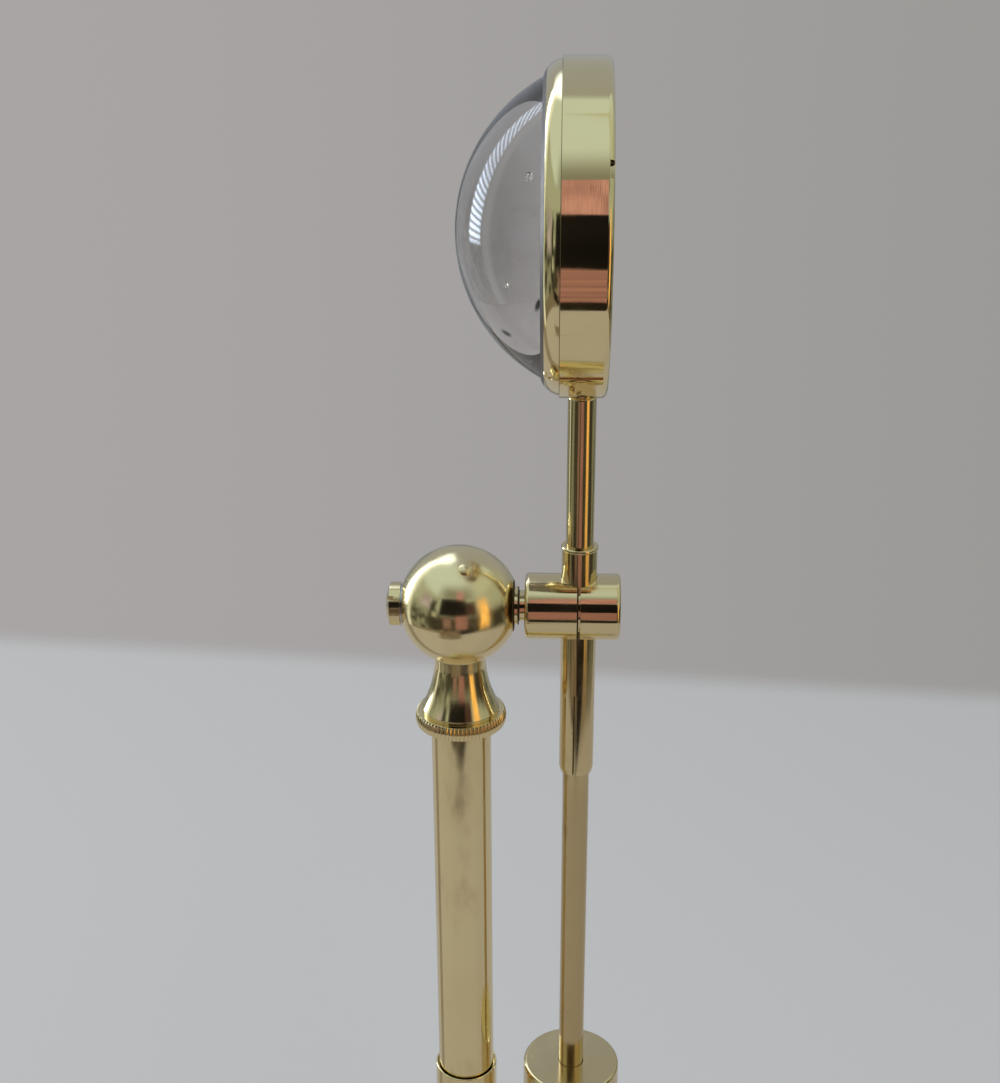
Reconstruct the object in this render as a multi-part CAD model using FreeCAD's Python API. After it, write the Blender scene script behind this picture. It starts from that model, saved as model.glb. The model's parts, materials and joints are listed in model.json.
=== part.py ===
import FreeCAD, Part
import math
import os

# Stand magnifier: a bull's-eye glass on a sliding rod, held by a cross clamp
# on a ball-topped telescopic pillar. Millimetres, +Z up, pillar on the Z axis,
# the underside of the base at Z = 0, the glass facing -X.

# Base
foot_dia = 105.0
rim_height = 7.0
rim_round = 2.5
rim_break = 0.6
plinth_dia = 94.0
plinth_height = 3.2
sweep_dia = 34.0
sweep_rise = 10.3
sweep_mid_shares = (0.64, 0.26)
boss_dia = 27.0
boss_height = 28.5
boss_round = 1.2
pad_dia = 101.0
pad_thick = 1.5
ballast_dia = 87.2
ballast_bore = 26.8
ballast_thick = 7.5
ballast_clearance = 0.4
base_screw_circle = 60.0
base_screw_dia = 3.2
base_screw_head = 6.4
base_screw_length = 11.0
base_screw_slot = 0.9
base_screw_count = 3
collar_dia = 23.0
collar_bead = 24.4
collar_height = 4.6

# Telescopic pillar
outer_tube_dia = 16.0
outer_tube_wall = 0.5
outer_tube_top = 150.0
tube_socket_depth = 24.0
inner_tube_dia = 14.3
inner_tube_wall = 1.0
pillar_show = 102.2
pillar_hidden = 41.0
guide_length = 10.0
guide_setback = 3.0
guide_wall = 0.9
sliding_fit = 0.05

# Milled ring and ball head
ring_dia = 21.7
ring_thick = 3.4
ring_crown = 0.45
ring_teeth = 68
ring_tooth_depth = 0.34
ring_plug_length = 10.0
spigot_dia = 8.0
ball_dia = 28.0
ball_flat_dia = 11.2
head_drop = 27.1
neck_dia = 12.0
neck_drop = 15.0
flare_dia = 18.4
flare_lip = 0.9
flare_mid_shares = (0.36, 0.54)
axle_dia = 6.0
running_fit = 0.05
swivel_washer_dia = 10.8
swivel_washer_thick = 1.0
swivel_screw_head = 7.0
swivel_screw_head_thick = 2.0
swivel_screw_dia = 3.0
swivel_screw_depth = 9.0
plug_dia = 2.4
plug_head_dia = 2.9
plug_proud = 0.9
plug_crown = 0.5
plug_depth = 7.0
plug_rise_angle = 58.0
plug_turn_angle = 15.0

# Cross clamp
rod_offset = 27.7
barrel_dia = 15.4
barrel_start = 15.3
barrel_end = 37.2
barrel_round = 1.0
barrel_split = 0.6
eye_dia = 12.4
eye_start = 21.5
eye_clearance = 0.05
eye_floor_gap = 0.3
shank_tail_gap = 1.3
clamp_boss_dia = 7.2
friction_washer_dia = 8.9
friction_washer_thick = 0.97
spring_washer_dia = 9.2
spring_washer_thick = 0.62
screw_head_dia = 10.2
screw_head_height = 3.55
screw_dome = 1.1
screw_slot_width = 1.0
screw_slot_depth = 2.2
screw_slot_angle = 52.0
tension_screw_dia = 3.2
tension_screw_reach = 10.0

# Split sleeve and lens rod
rod_dia = 6.35
rod_round = 0.5
sleeve_dia = 8.15
sleeve_lip_dia = 8.6
sleeve_lip_height = 0.9
sleeve_rise = 15.4
sleeve_drop = 43.1
sleeve_taper_dia = 7.6
sleeve_taper_height = 1.3
slit_width = 0.7
slit_length = 21.6
slit_turn_angle = 7.0
weight_dia = 25.0
weight_height = 19.0
weight_round = 0.9
weight_drop = 131.7
weight_bore_gap = 0.12
weight_floor = 6.0
weight_screw_dia = 3.2
weight_screw_depth = 9.0
weight_screw_head = 6.8
weight_screw_head_thick = 2.4
weight_screw_recess = 3.2
screw_head_gap = 0.3

# Lens cell
cell_rise = 86.5
cell_wall = 2.45
drum_length = 10.1
drum_back_round = 1.3
drum_back_break = 0.4
stud_gap = 0.9
stud_dia = 5.2
stud_thread_dia = 3.2
stud_thread_up = 2.0
stud_thread_down = 8.0
bezel_length = 3.85
bezel_spigot_wall = 1.15
bezel_spigot_length = 3.0
bezel_step = 0.55
bezel_edge = 0.4
bezel_sweep = 60.0
bezel_lip_thick = 0.75
lock_screw_dia = 1.9
lock_screw_angle = -50.0
lock_screw_crown = 0.4
lock_screw_sink = 0.2
glass_dia = 65.0
glass_edge = 4.5
glass_dome = 21.8
glass_front = 0.5
glass_fit = 0.05
packing_thick = 0.4
packing_width = 1.7
retainer_thick = 2.2
retainer_width = 2.15
retainer_slot_width = 2.0
retainer_slot_depth = 1.0
rim_slot_width = 3.6
rim_slot_wall = 0.7
rim_slot_depth = 1.0
rim_slot_angle = 29.0
overrun = 5.0

# Places worked out from the sizes
foot_low = pad_thick
rim_top = foot_low + rim_height
plinth_top = rim_top + plinth_height
sweep_top = plinth_top + sweep_rise
boss_top = foot_low + boss_height
tube_bottom = boss_top - tube_socket_depth
outer_bore = outer_tube_dia - 2 * outer_tube_wall
inner_bore = inner_tube_dia - 2 * inner_tube_wall
inner_low = outer_tube_top - pillar_hidden
ring_low = outer_tube_top + pillar_show
ring_top = ring_low + ring_thick
ball_z = ring_top + head_drop
flat_x = math.sqrt(ball_dia ** 2 - ball_flat_dia ** 2) / 2
washer_start = flat_x + running_fit
washer_end = washer_start + friction_washer_thick
spring_end = -flat_x - running_fit
spring_start = spring_end - spring_washer_thick
shank_end = shank_tail_gap - flat_x
cell_bore = glass_dia + 2 * glass_fit
cell_dia = cell_bore + 2 * cell_wall
bezel_spigot_dia = cell_bore + 2 * bezel_spigot_wall
cell_z = ball_z + cell_rise
rod_top = cell_z - cell_dia / 2 - stud_gap
weight_top = ball_z - weight_drop
weight_low = weight_top - weight_height
rod_low = weight_low + weight_floor
seam_x = -drum_length / 2
drum_back = drum_length / 2
glass_shoulder = seam_x - glass_front
glass_apex = glass_shoulder - glass_dome
dome_radius = (glass_dia ** 2 / 4 + glass_dome ** 2) / (2 * glass_dome)
dome_centre = glass_apex + dome_radius
glass_back = glass_shoulder + glass_edge


def point(radius, height):
    return FreeCAD.Vector(radius, 0, height)


def arc_to(centre, radius, start_angle, end_angle):
    """Gives the middle and the end of an arc about a centre (radius, height)."""
    stops = []
    for angle in ((start_angle + end_angle) / 2, end_angle):
        turn = math.radians(angle)
        stops.append((centre[0] + radius * math.cos(turn), centre[1] + radius * math.sin(turn)))
    return tuple(stops)


def crown_middle(rim_radius, rim_height_at, top):
    """A point halfway up a round crown that rises from its rim to its top on the axis."""
    rise = top - rim_height_at
    crown_radius = (rim_radius ** 2 + rise ** 2) / (2 * rise)
    half = rim_radius / 2
    drop = math.copysign(math.sqrt(crown_radius ** 2 - half ** 2), rise)
    return half, top - crown_radius + drop


def turned(start, *steps):
    """Turns a closed outline about Z; a step is a point, or an arc's middle and end."""
    edges = []
    here = start
    for step in steps:
        if isinstance(step[0], tuple):
            middle, end = step
            edges.append(Part.Arc(point(*here), point(*middle), point(*end)).toShape())
        else:
            end = step
            edges.append(Part.LineSegment(point(*here), point(*end)).toShape())
        here = end
    if here != start:
        edges.append(Part.LineSegment(point(*here), point(*start)).toShape())
    face = Part.Face(Part.Wire(edges))
    return face.revolve(FreeCAD.Vector(0, 0, 0), FreeCAD.Vector(0, 0, 1), 360)


def post(dia, low, high, x=0, y=0):
    return Part.makeCylinder(dia / 2, high - low, FreeCAD.Vector(x, y, low))


def tube(dia, bore, low, high):
    return post(dia, low, high).cut(post(bore, low - overrun, high + overrun))


def block(across, low, high, reach):
    """A bar along X, as wide as given, between two heights."""
    corner = FreeCAD.Vector(-reach, -across / 2, low)
    return Part.makeBox(2 * reach, across, high - low, corner)


def laid(shape, x, z):
    """Turns a shape made along Z so that it lies along X, at a place in the mid-plane."""
    shape.rotate(FreeCAD.Vector(0, 0, 0), FreeCAD.Vector(0, 1, 0), 90)
    shape.translate(FreeCAD.Vector(x, 0, z))
    return shape


def raised(shape, z):
    shape.translate(FreeCAD.Vector(0, 0, z))
    return shape


def spun(shape, angle):
    shape.rotate(FreeCAD.Vector(0, 0, 0), FreeCAD.Vector(0, 0, 1), angle)
    return shape


def around(make, count):
    """Copies of one piece, evenly spaced about Z, as a group."""
    return Part.makeCompound([spun(make(), 360.0 * index / count) for index in range(count)])


def sleeve_hole():
    """The upright hole through the barrel that the sleeve passes through."""
    reach = barrel_dia / 2 + overrun
    hole_dia = sleeve_dia + 2 * running_fit
    return post(hole_dia, ball_z - reach, ball_z + reach, rod_offset)


def base_pad():
    return post(pad_dia, 0, pad_thick)


def base_screw():
    head_depth = (base_screw_head - base_screw_dia) / 2
    screw = turned(
        (0, foot_low),
        (base_screw_head / 2, foot_low),
        (base_screw_dia / 2, foot_low + head_depth),
        (base_screw_dia / 2, foot_low + base_screw_length),
        (0, foot_low + base_screw_length),
    )
    slot = block(base_screw_slot, foot_low - overrun, foot_low + head_depth / 2, base_screw_head)
    screw = screw.cut(slot)
    screw.translate(FreeCAD.Vector(base_screw_circle / 2, 0, 0))
    return screw


def base_screw_space():
    """The drilled and countersunk room of one base screw."""
    head_depth = (base_screw_head - base_screw_dia) / 2
    cone = Part.makeCone(base_screw_head / 2, base_screw_dia / 2, head_depth)
    room = raised(cone, foot_low).fuse(post(base_screw_dia, foot_low, foot_low + base_screw_length))
    room.translate(FreeCAD.Vector(base_screw_circle / 2, 0, 0))
    return room


def base_foot():
    foot_r, plinth_r, boss_r = foot_dia / 2, plinth_dia / 2, boss_dia / 2
    sweep_r = sweep_dia / 2
    sweep_mid = (
        plinth_r - (plinth_r - sweep_r) * sweep_mid_shares[0],
        plinth_top + sweep_rise * sweep_mid_shares[1],
    )
    body = turned(
        (0, foot_low),
        (foot_r - rim_break, foot_low),
        (foot_r, foot_low + rim_break),
        (foot_r, rim_top - rim_round),
        arc_to((foot_r - rim_round, rim_top - rim_round), rim_round, 0, 90),
        (plinth_r, rim_top),
        (plinth_r, plinth_top),
        (sweep_mid, (sweep_r, sweep_top)),
        (boss_r, sweep_top),
        (boss_r, boss_top - boss_round),
        arc_to((boss_r - boss_round, boss_top - boss_round), boss_round, 0, 90),
        (0, boss_top),
    )
    cavity_dia = ballast_dia + 2 * ballast_clearance
    core_dia = ballast_bore - 2 * ballast_clearance
    cavity = tube(cavity_dia, core_dia, foot_low - overrun, foot_low + ballast_thick)
    socket = post(outer_tube_dia, tube_bottom, boss_top + overrun)
    return body.cut([cavity, socket, around(base_screw_space, base_screw_count)])


def base_ballast():
    ring = tube(ballast_dia, ballast_bore, foot_low, foot_low + ballast_thick)
    return ring.cut(around(base_screw_space, base_screw_count))


def base_screws():
    return around(base_screw, base_screw_count)


def base_collar():
    middle = boss_top + collar_height / 2
    return turned(
        (outer_tube_dia / 2, boss_top),
        (collar_dia / 2, boss_top),
        ((collar_bead / 2, middle), (collar_dia / 2, boss_top + collar_height)),
        (outer_tube_dia / 2, boss_top + collar_height),
    )


def outer_tube():
    outer_r, bore_r = outer_tube_dia / 2, outer_bore / 2
    lip_r = outer_tube_wall / 2
    return turned(
        (bore_r, tube_bottom),
        (outer_r, tube_bottom),
        (outer_r, outer_tube_top - lip_r),
        arc_to((bore_r + lip_r, outer_tube_top - lip_r), lip_r, 0, 180),
    )


def upper_guide_bush():
    high = outer_tube_top - guide_setback
    return tube(outer_bore, inner_tube_dia + 2 * sliding_fit, high - guide_length, high)


def lower_guide_dia():
    return outer_bore - 2 * sliding_fit


def inner_tube():
    whole = tube(inner_tube_dia, inner_bore, inner_low, ring_low)
    seat_dia = lower_guide_dia() - 2 * guide_wall
    return whole.cut(tube(inner_tube_dia + overrun, seat_dia, inner_low, inner_low + guide_length))


def lower_guide_bush():
    seat_dia = lower_guide_dia() - 2 * guide_wall
    return tube(lower_guide_dia(), seat_dia, inner_low, inner_low + guide_length)


def milled_blank():
    """A prism with one V-shaped tooth after another round its edge."""
    corners = []
    for index in range(2 * ring_teeth):
        turn = math.pi * index / ring_teeth
        radius = ring_dia / 2 - ring_tooth_depth * (index % 2)
        corners.append(FreeCAD.Vector(radius * math.cos(turn), radius * math.sin(turn), ring_low))
    corners.append(corners[0])
    face = Part.Face(Part.makePolygon(corners))
    return face.extrude(FreeCAD.Vector(0, 0, ring_thick))


def knurled_ring():
    edge_r = ring_dia / 2 - ring_crown
    crowned = turned(
        (0, ring_low),
        (edge_r, ring_low),
        ((ring_dia / 2, ring_low + ring_thick / 2), (edge_r, ring_top)),
        (0, ring_top),
    )
    ring = milled_blank().common(crowned)
    plug = post(inner_bore, ring_low - ring_plug_length, ring_low)
    bore = post(spigot_dia + 2 * running_fit, ring_low - ring_plug_length - overrun, ring_top + overrun)
    return ring.fuse(plug).cut(bore).removeSplitter()


def spigot_low():
    return ring_low - ring_plug_length - running_fit


def plug_direction(shape):
    """Swings a shape made upright over the ball to the plug's place towards -Y."""
    centre = FreeCAD.Vector(0, 0, 0)
    shape.rotate(centre, FreeCAD.Vector(1, 0, 0), 90 - plug_rise_angle)
    shape.rotate(centre, FreeCAD.Vector(0, 0, 1), plug_turn_angle)
    return raised(shape, ball_z)


def ball_head():
    ball_r, neck_r, flare_r = ball_dia / 2, neck_dia / 2, flare_dia / 2
    spigot_r = spigot_dia / 2
    floor = ring_top + running_fit
    flare_low = floor + flare_lip
    neck_z = ball_z - neck_drop
    ball_join = ball_z - math.sqrt(ball_r ** 2 - neck_r ** 2)
    flare_mid = (
        neck_r + (flare_r - neck_r) * flare_mid_shares[0],
        neck_z + (flare_low - neck_z) * flare_mid_shares[1],
    )
    head = turned(
        (0, ball_z + ball_r),
        ((ball_r, ball_z), (neck_r, ball_join)),
        (neck_r, neck_z),
        (flare_mid, (flare_r, flare_low)),
        (flare_r, floor),
        (spigot_r, floor),
        (spigot_r, spigot_low()),
        (0, spigot_low()),
    )
    side = ball_dia + overrun
    cheek = laid(post(side, flat_x, flat_x + overrun), 0, ball_z)
    far_cheek = laid(post(side, -flat_x - overrun, -flat_x), 0, ball_z)
    reach = ball_r + overrun
    axle_hole = laid(post(axle_dia + 2 * running_fit, -reach, reach), 0, ball_z)
    plug_hole = plug_direction(post(plug_dia, ball_r - plug_depth, reach))
    screw_hole = post(swivel_screw_dia, spigot_low() - overrun, spigot_low() + swivel_screw_depth)
    return head.cut([cheek, far_cheek, axle_hole, plug_hole, screw_hole])


def ball_plug():
    """A turned plug in the ball's oil hole; its domed head is hollowed to sit on the ball."""
    ball_r, head_r = ball_dia / 2, plug_head_dia / 2
    top = ball_r + plug_proud
    rim = top - plug_crown
    head = turned(
        (0, ball_r - plug_proud),
        (head_r, ball_r - plug_proud),
        (head_r, rim),
        (crown_middle(head_r, rim, top), (0, top)),
    )
    shank = post(plug_dia, ball_r - plug_depth, rim)
    return plug_direction(head.cut(Part.makeSphere(ball_r)).fuse(shank))


def swivel_washer():
    high = spigot_low()
    return tube(swivel_washer_dia, swivel_screw_dia, high - swivel_washer_thick, high)


def swivel_screw():
    head_top = spigot_low() - swivel_washer_thick
    head = post(swivel_screw_head, head_top - swivel_screw_head_thick, head_top)
    slot = block(screw_slot_width, head_top - swivel_screw_head_thick - overrun,
                 head_top - swivel_screw_head_thick / 2, swivel_screw_head)
    shank = post(swivel_screw_dia, head_top, spigot_low() + swivel_screw_depth)
    return head.fuse(shank).cut(slot)


def clamp_body():
    """The left half of the barrel: a cup that the eye bolt's eye slides in."""
    barrel_r, bolt_r = barrel_dia / 2, axle_dia / 2 + running_fit
    cup_r = eye_dia / 2 + eye_clearance
    split_face = rod_offset - barrel_split / 2
    floor = eye_start - eye_floor_gap
    shape = turned(
        (bolt_r, washer_end),
        (clamp_boss_dia / 2, washer_end),
        (clamp_boss_dia / 2, barrel_start),
        (barrel_r - barrel_round, barrel_start),
        arc_to((barrel_r - barrel_round, barrel_start + barrel_round), barrel_round, -90, 0),
        (barrel_r, split_face),
        (cup_r, split_face),
        (cup_r, floor),
        (bolt_r, floor),
    )
    return laid(shape, 0, ball_z).cut(sleeve_hole())


def eye_bolt():
    """The draw bolt: a shank through the ball, an eye round the sleeve and the right half barrel."""
    barrel_r, eye_r, shank_r = barrel_dia / 2, eye_dia / 2, axle_dia / 2
    split_face = rod_offset + barrel_split / 2
    shape = turned(
        (0, shank_end),
        (shank_r, shank_end),
        (shank_r, eye_start),
        (eye_r, eye_start),
        (eye_r, split_face),
        (barrel_r, split_face),
        (barrel_r, barrel_end - barrel_round),
        arc_to((barrel_r - barrel_round, barrel_end - barrel_round), barrel_round, 0, 90),
        (0, barrel_end),
    )
    tapped = post(tension_screw_dia, shank_end - overrun, shank_end + tension_screw_reach)
    return laid(shape.cut(tapped), 0, ball_z).cut(sleeve_hole())


def friction_washer():
    bore = axle_dia + 2 * running_fit
    return laid(tube(friction_washer_dia, bore, washer_start, washer_end), 0, ball_z)


def spring_washer():
    ring = tube(spring_washer_dia, tension_screw_dia, spring_start, spring_end)
    return laid(ring, 0, ball_z)


def tension_screw():
    head_r, shank_r = screw_head_dia / 2, tension_screw_dia / 2
    head_end = spring_start - screw_head_height
    dome_start = head_end + screw_dome
    screw = turned(
        (head_r, dome_start),
        (head_r, spring_start),
        (shank_r, spring_start),
        (shank_r, shank_end + tension_screw_reach),
        (0, shank_end + tension_screw_reach),
        (0, head_end),
        (crown_middle(head_r, dome_start, head_end), (head_r, dome_start)),
    )
    slot = block(screw_slot_width, head_end - overrun, head_end + screw_slot_depth, screw_head_dia)
    spun(slot, screw_slot_angle)
    return laid(screw.cut(slot), 0, ball_z)


def split_sleeve():
    outer_r, lip_r = sleeve_dia / 2, sleeve_lip_dia / 2
    bore_r = rod_dia / 2 + sliding_fit
    low, high = ball_z - sleeve_drop, ball_z + sleeve_rise
    lip_low = high - sleeve_lip_height
    lip_mid = high - sleeve_lip_height / 2
    sleeve = turned(
        (bore_r, low),
        (sleeve_taper_dia / 2, low),
        (outer_r, low + sleeve_taper_height),
        (outer_r, lip_low),
        ((lip_r, lip_mid), (outer_r, high)),
        (bore_r, high),
    )
    slit = block(slit_width, low - overrun, low + slit_length, sleeve_dia)
    sleeve = sleeve.cut(spun(slit, 90 - slit_turn_angle))
    sleeve.translate(FreeCAD.Vector(rod_offset, 0, 0))
    return sleeve


def lens_rod():
    rod_r = rod_dia / 2
    rod = turned(
        (0, rod_low),
        (rod_r, rod_low),
        (rod_r, rod_top - rod_round),
        arc_to((rod_r - rod_round, rod_top - rod_round), rod_round, 0, 90),
        (0, rod_top),
    )
    stud_hole = post(stud_thread_dia, rod_top - stud_thread_down, rod_top + overrun)
    screw_hole = post(weight_screw_dia, rod_low - overrun, rod_low + weight_screw_depth)
    rod = rod.cut([stud_hole, screw_hole])
    rod.translate(FreeCAD.Vector(rod_offset, 0, 0))
    return rod


def cell_stud():
    """Joins the rod to the drum; its collar is hollowed to sit on the drum's curve."""
    cell_low = cell_z - cell_dia / 2
    collar = post(stud_dia, rod_top, cell_low + stud_gap, rod_offset)
    collar = collar.cut(laid(post(cell_dia, seam_x - overrun, drum_back + overrun), rod_offset, cell_z))
    thread = post(stud_thread_dia, rod_top - stud_thread_down, cell_low + stud_thread_up, rod_offset)
    return collar.fuse(thread)


def rim_slots(width, depth, back, dia, core_dia):
    """Two spanner slots, one each side, cut into a rim that faces +X, as deep as a core."""
    slot = block(width, back - depth, back + overrun, dia)
    slot = slot.cut(post(core_dia, back - 2 * depth, back + 2 * overrun))
    return laid(spun(slot, 90 - rim_slot_angle), rod_offset, cell_z)


def lens_cell():
    outer_r, bore_r = cell_dia / 2, cell_bore / 2
    drum = turned(
        (bezel_spigot_dia / 2, seam_x),
        (outer_r, seam_x),
        (outer_r, drum_back - drum_back_round),
        arc_to((outer_r - drum_back_round, drum_back - drum_back_round), drum_back_round, 0, 90),
        (bore_r + drum_back_break, drum_back),
        (bore_r, drum_back - drum_back_break),
        (bore_r, seam_x + bezel_spigot_length),
        (bezel_spigot_dia / 2, seam_x + bezel_spigot_length),
    )
    drum = laid(drum, rod_offset, cell_z)
    cell_low = cell_z - cell_dia / 2
    stud_hole = post(stud_thread_dia, cell_low - overrun, cell_low + stud_thread_up, rod_offset)
    core_dia = cell_bore + 2 * rim_slot_wall
    return drum.cut([stud_hole, rim_slots(rim_slot_width, rim_slot_depth, drum_back, cell_dia, core_dia)])


def at_lock_screw(shape):
    """Swings a shape made upright about the cell's centre to the lock screw's place."""
    shape.rotate(FreeCAD.Vector(0, 0, 0), FreeCAD.Vector(1, 0, 0), 90 - lock_screw_angle)
    shape.translate(FreeCAD.Vector(rod_offset + bezel_crest()[1], 0, cell_z))
    return shape


def dome_reach(x):
    """How wide the dome is, from the cell's axis, at a place along that axis."""
    return math.sqrt(dome_radius ** 2 - (dome_centre - x) ** 2)


def bezel_crest():
    """The outermost point midway along the bezel's rounded face, which is one arc."""
    front = seam_x - bezel_length
    widest = cell_dia / 2 - bezel_step
    narrowest = dome_reach(front) + glass_fit + bezel_edge
    rise = math.tan(math.radians(bezel_sweep / 4)) / 2
    return (
        (widest + narrowest) / 2 + rise * bezel_length,
        (seam_x + front) / 2 - rise * (widest - narrowest),
    )


def bezel_ring():
    """The front ring: a rounded face from the seam to a thin lip that seats on the dome."""
    bore_r = cell_bore / 2
    front = seam_x - bezel_length
    lip_inside = front + bezel_lip_thick
    ring = turned(
        (bore_r, seam_x + bezel_spigot_length),
        (bore_r, lip_inside),
        (dome_reach(lip_inside) + glass_fit, lip_inside),
        (dome_reach(front) + glass_fit, front),
        (dome_reach(front) + glass_fit + bezel_edge, front),
        (bezel_crest(), (cell_dia / 2 - bezel_step, seam_x)),
        (bezel_spigot_dia / 2, seam_x),
        (bezel_spigot_dia / 2, seam_x + bezel_spigot_length),
    )
    screw_hole = at_lock_screw(post(lock_screw_dia, bore_r - glass_fit, cell_dia / 2))
    return laid(ring, rod_offset, cell_z).cut(screw_hole)


def bezel_lock_screw():
    screw_r = lock_screw_dia / 2
    head_low = bezel_crest()[0] - lock_screw_sink
    head_high = head_low + lock_screw_crown
    screw = turned(
        (0, cell_bore / 2),
        (screw_r, cell_bore / 2),
        (screw_r, head_low),
        (crown_middle(screw_r, head_low, head_high), (0, head_high)),
    )
    return at_lock_screw(screw)


def lens():
    glass_r = glass_dia / 2
    glass = turned(
        (glass_r, glass_shoulder),
        (glass_r, glass_back),
        (0, glass_back),
        (0, glass_apex),
        (crown_middle(glass_r, glass_shoulder, glass_apex), (glass_r, glass_shoulder)),
    )
    return laid(glass, rod_offset, cell_z)


def lens_packing():
    ring = tube(glass_dia, glass_dia - 2 * packing_width, glass_back, glass_back + packing_thick)
    return laid(ring, rod_offset, cell_z)


def retaining_ring():
    low = glass_back + packing_thick
    high = low + retainer_thick
    ring_bore = cell_bore - 2 * retainer_width
    ring = laid(tube(cell_bore, ring_bore, low, high), rod_offset, cell_z)
    return ring.cut(rim_slots(retainer_slot_width, retainer_slot_depth, high, cell_bore, ring_bore))


def counterweight():
    outer_r = weight_dia / 2
    body = turned(
        (0, weight_low),
        (outer_r - weight_round, weight_low),
        arc_to((outer_r - weight_round, weight_low + weight_round), weight_round, -90, 0),
        (outer_r, weight_top - weight_round),
        arc_to((outer_r - weight_round, weight_top - weight_round), weight_round, 0, 90),
        (0, weight_top),
    )
    rod_hole = post(rod_dia + 2 * weight_bore_gap, rod_low, weight_top + overrun)
    recess_dia = weight_screw_head + 2 * screw_head_gap
    recess = post(recess_dia, weight_low - overrun, weight_low + weight_screw_recess)
    screw_hole = post(weight_screw_dia, weight_low, rod_low)
    body = body.cut([rod_hole, recess, screw_hole])
    body.translate(FreeCAD.Vector(rod_offset, 0, 0))
    return body


def counterweight_screw():
    head_top = weight_low + weight_screw_recess
    head_low = head_top - weight_screw_head_thick
    head = post(weight_screw_head, head_low, head_top)
    slot = block(screw_slot_width, head_low - overrun, head_low + weight_screw_head_thick / 2,
                 weight_screw_head)
    screw = head.fuse(post(weight_screw_dia, head_top, rod_low + weight_screw_depth)).cut(slot)
    screw.translate(FreeCAD.Vector(rod_offset, 0, 0))
    return screw


sub_parts = (
    base_pad, base_foot, base_ballast, base_screws, base_collar,
    outer_tube, upper_guide_bush, inner_tube, lower_guide_bush,
    knurled_ring, ball_head, ball_plug, swivel_washer, swivel_screw,
    clamp_body, eye_bolt, friction_washer, spring_washer, tension_screw,
    split_sleeve, lens_rod, cell_stud,
    lens_cell, bezel_ring, bezel_lock_screw, lens, lens_packing, retaining_ring,
    counterweight, counterweight_screw,
)

os.makedirs("parts", exist_ok=True)
for make in sub_parts:
    shape = make()
    print(make.__name__, shape.isValid(), len(shape.Solids), round(shape.Volume, 1))
    shape.exportStep(os.path.join("parts", make.__name__ + ".step"))
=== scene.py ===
import json
import math

import bmesh
import bpy
import numpy as np
from mathutils import Matrix, Vector


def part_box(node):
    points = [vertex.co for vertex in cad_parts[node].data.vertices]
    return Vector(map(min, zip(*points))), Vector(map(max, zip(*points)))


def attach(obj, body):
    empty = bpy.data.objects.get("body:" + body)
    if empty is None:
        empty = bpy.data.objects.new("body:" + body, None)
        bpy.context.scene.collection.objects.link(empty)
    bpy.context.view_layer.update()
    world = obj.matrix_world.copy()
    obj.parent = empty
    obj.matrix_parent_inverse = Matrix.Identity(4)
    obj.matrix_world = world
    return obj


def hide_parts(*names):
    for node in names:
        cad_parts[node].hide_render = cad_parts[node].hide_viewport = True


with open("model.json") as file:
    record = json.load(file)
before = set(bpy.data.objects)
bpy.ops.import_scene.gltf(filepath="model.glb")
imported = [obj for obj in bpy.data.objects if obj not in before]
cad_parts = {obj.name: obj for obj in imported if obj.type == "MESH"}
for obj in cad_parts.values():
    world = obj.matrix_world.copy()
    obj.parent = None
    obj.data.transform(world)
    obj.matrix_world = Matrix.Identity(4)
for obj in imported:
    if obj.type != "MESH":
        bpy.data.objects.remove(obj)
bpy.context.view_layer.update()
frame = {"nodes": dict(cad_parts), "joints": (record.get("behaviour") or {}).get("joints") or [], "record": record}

mm = 0.001

# places that the frame gives
record = frame["record"]
nodes = frame["nodes"]
joints = {joint["name"]: joint for joint in frame["joints"]}
bodyOf = {node: body for body, members in record["behaviour"]["bodies"].items() for node in members}
ballCentre = Vector(joints["arm_tilt"]["pos_m"])
rodPlace = Vector(joints["sleeve_turn"]["pos_m"])
cellLow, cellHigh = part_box("lens_cell")
cellCentre = Vector((rodPlace.x, 0, (cellLow.z + cellHigh.z) / 2))
pillarAxis = (Vector((0, 0, 0)), Vector((0, 0, 1)))
rodAxis = (Vector((rodPlace.x, 0, 0)), Vector((0, 0, 1)))
crossAxis = (ballCentre, Vector((1, 0, 0)))
cellAxis = (cellCentre, Vector((1, 0, 0)))


# Shader and geometry trees

class Value:
    # a node's output that can stand in sums
    def __init__(self, tree, socket):
        self.tree = tree
        self.socket = socket

    def maths(self, operation, *terms):
        node = self.tree.nodes.new("ShaderNodeMath")
        node.operation = operation
        for slot, term in zip(node.inputs, terms):
            feed(self.tree, slot, term)
        return Value(self.tree, node.outputs[0])

    def __add__(self, other):
        return self.maths("ADD", self, other)

    def __radd__(self, other):
        return self.maths("ADD", other, self)

    def __sub__(self, other):
        return self.maths("SUBTRACT", self, other)

    def __rsub__(self, other):
        return self.maths("SUBTRACT", other, self)

    def __mul__(self, other):
        return self.maths("MULTIPLY", self, other)

    def __rmul__(self, other):
        return self.maths("MULTIPLY", other, self)

    def __truediv__(self, other):
        return self.maths("DIVIDE", self, other)

    def off(self, middle):
        # how far it is from a number, either way
        gap = self - middle
        return gap.maths("ABSOLUTE", gap)

    def most(self, other):
        return self.maths("MAXIMUM", self, other)

    def step(self, low, high):
        # 0 below low, 1 above high, smooth between
        node = self.tree.nodes.new("ShaderNodeMapRange")
        node.interpolation_type = "SMOOTHSTEP"
        feed(self.tree, node.inputs["Value"], self)
        node.inputs["From Min"].default_value = low
        node.inputs["From Max"].default_value = high
        return Value(self.tree, node.outputs["Result"])


def feed(tree, slot, term):
    if isinstance(term, Value):
        tree.links.new(term.socket, slot)
    else:
        slot.default_value = term


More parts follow.
